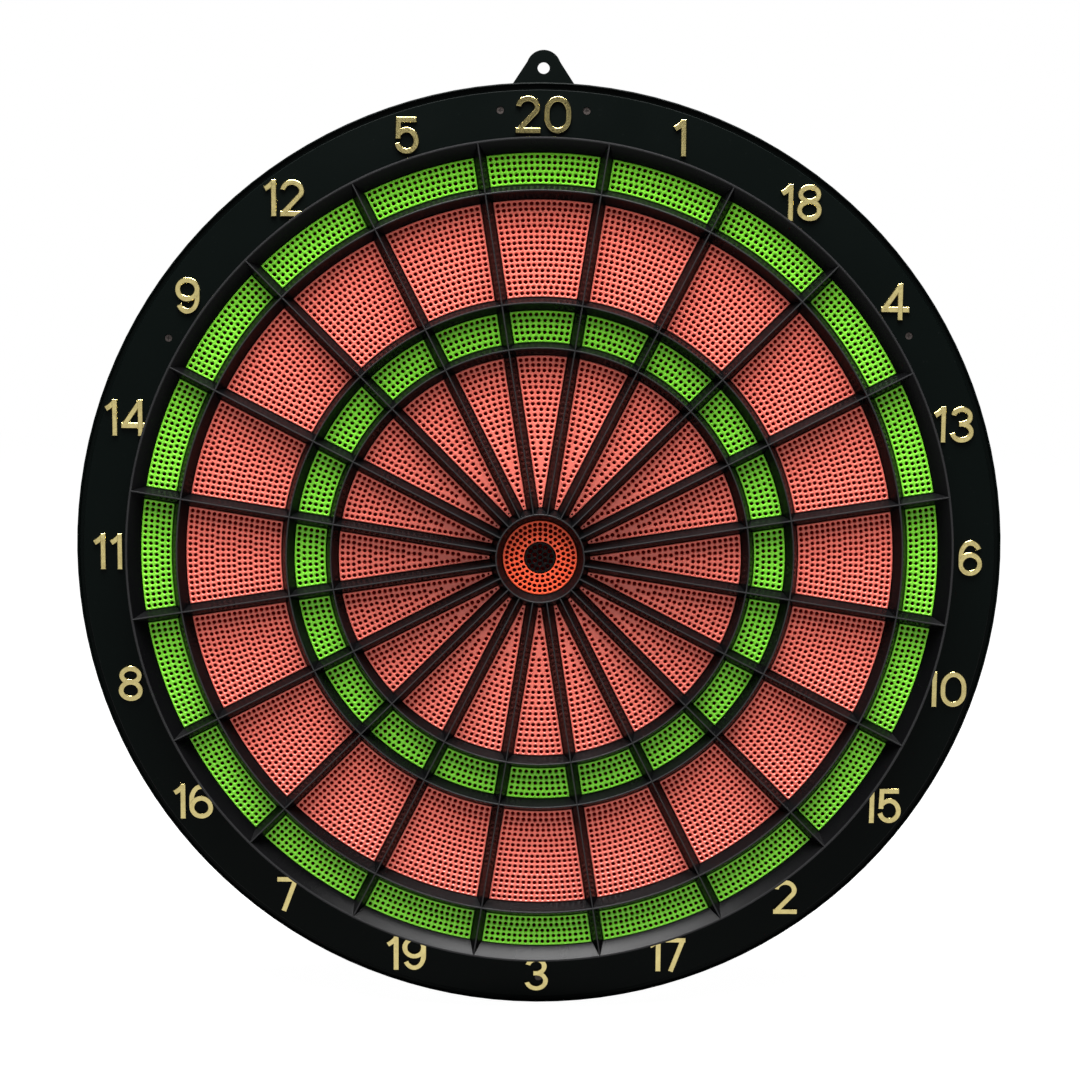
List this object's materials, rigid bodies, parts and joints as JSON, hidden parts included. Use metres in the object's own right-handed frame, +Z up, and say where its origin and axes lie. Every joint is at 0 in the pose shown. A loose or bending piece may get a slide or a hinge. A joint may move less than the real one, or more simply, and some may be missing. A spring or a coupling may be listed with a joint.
{
  "type": "electronic dartboard",
  "caption": "Round wall-hung soft-tip electronic dartboard with sprung scoring segments in a ridged spider, a raised-numeral ring, a hanging tab and a battery back cover.",
  "frame": {"origin": "on the wall plane, directly behind the centre of the bull, at the face of the middle wall pad", "axes": "+Z up, +Y into the wall, -Y out of the scoring face towards the player, +X to the player's right"},
  "size_m": [0.4671, 0.0418, 0.4849],
  "materials": {
    "panel_plastic": "satin black moulding with a faint green cast",
    "spider_plastic": "fine-grained matt black moulding",
    "gold_foil": "hot-stamped gold foil on raised numerals",
    "cover_plastic": "spark-textured black moulding",
    "salmon_plastic": "satin moulded plastic",
    "green_plastic": "satin moulded plastic",
    "bull_red": "satin moulded plastic",
    "bull_black": "satin moulded plastic",
    "mat_rubber": "translucent silicone",
    "film": "polyester film with printed tracks",
    "fibreboard": "pressed fibreboard",
    "board_laminate": "green solder mask",
    "speaker_shell": "black pressed steel",
    "cell_wrap": "plain shrink wrap",
    "tin": "tin-plated spring steel",
    "knob_plastic": "grey moulding",
    "screw_steel": "dulled zinc-plated steel",
    "pad_rubber": "closed-cell foam rubber"
  },
  "bodies": {
    "casing": {"number_ring": "panel_plastic", "spider": "spider_plastic", "numerals": "gold_foil", "hanger_plate": "panel_plastic", "back_cover": "cover_plastic", "silicone_mat": "mat_rubber", "membrane_switch": "film", "backing_plate": "fibreboard", "circuit_board": "board_laminate", "ribbon_cable": "film", "speaker": "speaker_shell", "batteries": "cell_wrap", "battery_contacts": "tin", "front_screws": "screw_steel", "back_screws": "screw_steel", "wall_pads": "pad_rubber"},
    "single_20": {"single_20": "salmon_plastic"},
    "single_01": {"single_01": "salmon_plastic"},
    "single_18": {"single_18": "salmon_plastic"},
    "single_04": {"single_04": "salmon_plastic"},
    "single_13": {"single_13": "salmon_plastic"},
    "single_06": {"single_06": "salmon_plastic"},
    "single_10": {"single_10": "salmon_plastic"},
    "single_15": {"single_15": "salmon_plastic"},
    "single_02": {"single_02": "salmon_plastic"},
    "single_17": {"single_17": "salmon_plastic"},
    "single_03": {"single_03": "salmon_plastic"},
    "single_19": {"single_19": "salmon_plastic"},
    "single_07": {"single_07": "salmon_plastic"},
    "single_16": {"single_16": "salmon_plastic"},
    "single_08": {"single_08": "salmon_plastic"},
    "single_11": {"single_11": "salmon_plastic"},
    "single_14": {"single_14": "salmon_plastic"},
    "single_09": {"single_09": "salmon_plastic"},
    "single_12": {"single_12": "salmon_plastic"},
    "single_05": {"single_05": "salmon_plastic"},
    "double_triple_20": {"double_triple_20": "green_plastic"},
    "double_triple_01": {"double_triple_01": "green_plastic"},
    "double_triple_18": {"double_triple_18": "green_plastic"},
    "double_triple_04": {"double_triple_04": "green_plastic"},
    "double_triple_13": {"double_triple_13": "green_plastic"},
    "double_triple_06": {"double_triple_06": "green_plastic"},
    "double_triple_10": {"double_triple_10": "green_plastic"},
    "double_triple_15": {"double_triple_15": "green_plastic"},
    "double_triple_02": {"double_triple_02": "green_plastic"},
    "double_triple_17": {"double_triple_17": "green_plastic"},
    "double_triple_03": {"double_triple_03": "green_plastic"},
    "double_triple_19": {"double_triple_19": "green_plastic"},
    "double_triple_07": {"double_triple_07": "green_plastic"},
    "double_triple_16": {"double_triple_16": "green_plastic"},
    "double_triple_08": {"double_triple_08": "green_plastic"},
    "double_triple_11": {"double_triple_11": "green_plastic"},
    "double_triple_14": {"double_triple_14": "green_plastic"},
    "double_triple_09": {"double_triple_09": "green_plastic"},
    "double_triple_12": {"double_triple_12": "green_plastic"},
    "double_triple_05": {"double_triple_05": "green_plastic"},
    "outer_bull": {"outer_bull": "bull_red"},
    "inner_bull": {"inner_bull": "bull_black"},
    "battery_door": {"battery_door": "cover_plastic"},
    "power_switch": {"power_switch": "knob_plastic"}
  },
  "joints": [
    {"name": "battery_door_hinge", "type": "hinge", "parent": "casing", "child": "battery_door", "pos_m": [0, -0.0028, -0.1318], "axis": [-1, 0, 0], "range_deg": [0, 85]},
    {"name": "power_switch_slide", "type": "slide", "parent": "casing", "child": "power_switch", "axis": [1, 0, 0], "range_m": [0, 0.004]},
    {"name": "outer_bull_press", "type": "slide", "parent": "casing", "child": "outer_bull", "axis": [0, 1, 0], "range_m": [0, 0.0014], "stiffness_N_per_m": 300, "springref_m": -0.001},
    {"name": "inner_bull_press", "type": "slide", "parent": "casing", "child": "inner_bull", "axis": [0, 1, 0], "range_m": [0, 0.0014], "stiffness_N_per_m": 300, "springref_m": -0.001},
    {"name": "single_20_press", "type": "slide", "parent": "casing", "child": "single_20", "axis": [0, 1, 0], "range_m": [0, 0.0014], "stiffness_N_per_m": 300, "springref_m": -0.001},
    {"name": "single_01_press", "type": "slide", "parent": "casing", "child": "single_01", "axis": [0, 1, 0], "range_m": [0, 0.0014], "stiffness_N_per_m": 300, "springref_m": -0.001},
    {"name": "single_18_press", "type": "slide", "parent": "casing", "child": "single_18", "axis": [0, 1, 0], "range_m": [0, 0.0014], "stiffness_N_per_m": 300, "springref_m": -0.001},
    {"name": "single_04_press", "type": "slide", "parent": "casing", "child": "single_04", "axis": [0, 1, 0], "range_m": [0, 0.0014], "stiffness_N_per_m": 300, "springref_m": -0.001},
    {"name": "single_13_press", "type": "slide", "parent": "casing", "child": "single_13", "axis": [0, 1, 0], "range_m": [0, 0.0014], "stiffness_N_per_m": 300, "springref_m": -0.001},
    {"name": "single_06_press", "type": "slide", "parent": "casing", "child": "single_06", "axis": [0, 1, 0], "range_m": [0, 0.0014], "stiffness_N_per_m": 300, "springref_m": -0.001},
    {"name": "single_10_press", "type": "slide", "parent": "casing", "child": "single_10", "axis": [0, 1, 0], "range_m": [0, 0.0014], "stiffness_N_per_m": 300, "springref_m": -0.001},
    {"name": "single_15_press", "type": "slide", "parent": "casing", "child": "single_15", "axis": [0, 1, 0], "range_m": [0, 0.0014], "stiffness_N_per_m": 300, "springref_m": -0.001},
    {"name": "single_02_press", "type": "slide", "parent": "casing", "child": "single_02", "axis": [0, 1, 0], "range_m": [0, 0.0014], "stiffness_N_per_m": 300, "springref_m": -0.001},
    {"name": "single_17_press", "type": "slide", "parent": "casing", "child": "single_17", "axis": [0, 1, 0], "range_m": [0, 0.0014], "stiffness_N_per_m": 300, "springref_m": -0.001},
    {"name": "single_03_press", "type": "slide", "parent": "casing", "child": "single_03", "axis": [0, 1, 0], "range_m": [0, 0.0014], "stiffness_N_per_m": 300, "springref_m": -0.001},
    {"name": "single_19_press", "type": "slide", "parent": "casing", "child": "single_19", "axis": [0, 1, 0], "range_m": [0, 0.0014], "stiffness_N_per_m": 300, "springref_m": -0.001},
    {"name": "single_07_press", "type": "slide", "parent": "casing", "child": "single_07", "axis": [0, 1, 0], "range_m": [0, 0.0014], "stiffness_N_per_m": 300, "springref_m": -0.001},
    {"name": "single_16_press", "type": "slide", "parent": "casing", "child": "single_16", "axis": [0, 1, 0], "range_m": [0, 0.0014], "stiffness_N_per_m": 300, "springref_m": -0.001},
    {"name": "single_08_press", "type": "slide", "parent": "casing", "child": "single_08", "axis": [0, 1, 0], "range_m": [0, 0.0014], "stiffness_N_per_m": 300, "springref_m": -0.001},
    {"name": "single_11_press", "type": "slide", "parent": "casing", "child": "single_11", "axis": [0, 1, 0], "range_m": [0, 0.0014], "stiffness_N_per_m": 300, "springref_m": -0.001},
    {"name": "single_14_press", "type": "slide", "parent": "casing", "child": "single_14", "axis": [0, 1, 0], "range_m": [0, 0.0014], "stiffness_N_per_m": 300, "springref_m": -0.001},
    {"name": "single_09_press", "type": "slide", "parent": "casing", "child": "single_09", "axis": [0, 1, 0], "range_m": [0, 0.0014], "stiffness_N_per_m": 300, "springref_m": -0.001},
    {"name": "single_12_press", "type": "slide", "parent": "casing", "child": "single_12", "axis": [0, 1, 0], "range_m": [0, 0.0014], "stiffness_N_per_m": 300, "springref_m": -0.001},
    {"name": "single_05_press", "type": "slide", "parent": "casing", "child": "single_05", "axis": [0, 1, 0], "range_m": [0, 0.0014], "stiffness_N_per_m": 300, "springref_m": -0.001},
    {"name": "double_triple_20_press", "type": "slide", "parent": "casing", "child": "double_triple_20", "axis": [0, 1, 0], "range_m": [0, 0.0014], "stiffness_N_per_m": 300, "springref_m": -0.001},
    {"name": "double_triple_01_press", "type": "slide", "parent": "casing", "child": "double_triple_01", "axis": [0, 1, 0], "range_m": [0, 0.0014], "stiffness_N_per_m": 300, "springref_m": -0.001},
    {"name": "double_triple_18_press", "type": "slide", "parent": "casing", "child": "double_triple_18", "axis": [0, 1, 0], "range_m": [0, 0.0014], "stiffness_N_per_m": 300, "springref_m": -0.001},
    {"name": "double_triple_04_press", "type": "slide", "parent": "casing", "child": "double_triple_04", "axis": [0, 1, 0], "range_m": [0, 0.0014], "stiffness_N_per_m": 300, "springref_m": -0.001},
    {"name": "double_triple_13_press", "type": "slide", "parent": "casing", "child": "double_triple_13", "axis": [0, 1, 0], "range_m": [0, 0.0014], "stiffness_N_per_m": 300, "springref_m": -0.001},
    {"name": "double_triple_06_press", "type": "slide", "parent": "casing", "child": "double_triple_06", "axis": [0, 1, 0], "range_m": [0, 0.0014], "stiffness_N_per_m": 300, "springref_m": -0.001},
    {"name": "double_triple_10_press", "type": "slide", "parent": "casing", "child": "double_triple_10", "axis": [0, 1, 0], "range_m": [0, 0.0014], "stiffness_N_per_m": 300, "springref_m": -0.001},
    {"name": "double_triple_15_press", "type": "slide", "parent": "casing", "child": "double_triple_15", "axis": [0, 1, 0], "range_m": [0, 0.0014], "stiffness_N_per_m": 300, "springref_m": -0.001},
    {"name": "double_triple_02_press", "type": "slide", "parent": "casing", "child": "double_triple_02", "axis": [0, 1, 0], "range_m": [0, 0.0014], "stiffness_N_per_m": 300, "springref_m": -0.001},
    {"name": "double_triple_17_press", "type": "slide", "parent": "casing", "child": "double_triple_17", "axis": [0, 1, 0], "range_m": [0, 0.0014], "stiffness_N_per_m": 300, "springref_m": -0.001},
    {"name": "double_triple_03_press", "type": "slide", "parent": "casing", "child": "double_triple_03", "axis": [0, 1, 0], "range_m": [0, 0.0014], "stiffness_N_per_m": 300, "springref_m": -0.001},
    {"name": "double_triple_19_press", "type": "slide", "parent": "casing", "child": "double_triple_19", "axis": [0, 1, 0], "range_m": [0, 0.0014], "stiffness_N_per_m": 300, "springref_m": -0.001},
    {"name": "double_triple_07_press", "type": "slide", "parent": "casing", "child": "double_triple_07", "axis": [0, 1, 0], "range_m": [0, 0.0014], "stiffness_N_per_m": 300, "springref_m": -0.001},
    {"name": "double_triple_16_press", "type": "slide", "parent": "casing", "child": "double_triple_16", "axis": [0, 1, 0], "range_m": [0, 0.0014], "stiffness_N_per_m": 300, "springref_m": -0.001},
    {"name": "double_triple_08_press", "type": "slide", "parent": "casing", "child": "double_triple_08", "axis": [0, 1, 0], "range_m": [0, 0.0014], "stiffness_N_per_m": 300, "springref_m": -0.001},
    {"name": "double_triple_11_press", "type": "slide", "parent": "casing", "child": "double_triple_11", "axis": [0, 1, 0], "range_m": [0, 0.0014], "stiffness_N_per_m": 300, "springref_m": -0.001},
    {"name": "double_triple_14_press", "type": "slide", "parent": "casing", "child": "double_triple_14", "axis": [0, 1, 0], "range_m": [0, 0.0014], "stiffness_N_per_m": 300, "springref_m": -0.001},
    {"name": "double_triple_09_press", "type": "slide", "parent": "casing", "child": "double_triple_09", "axis": [0, 1, 0], "range_m": [0, 0.0014], "stiffness_N_per_m": 300, "springref_m": -0.001},
    {"name": "double_triple_12_press", "type": "slide", "parent": "casing", "child": "double_triple_12", "axis": [0, 1, 0], "range_m": [0, 0.0014], "stiffness_N_per_m": 300, "springref_m": -0.001},
    {"name": "double_triple_05_press", "type": "slide", "parent": "casing", "child": "double_triple_05", "axis": [0, 1, 0], "range_m": [0, 0.0014], "stiffness_N_per_m": 300, "springref_m": -0.001}
  ]
}
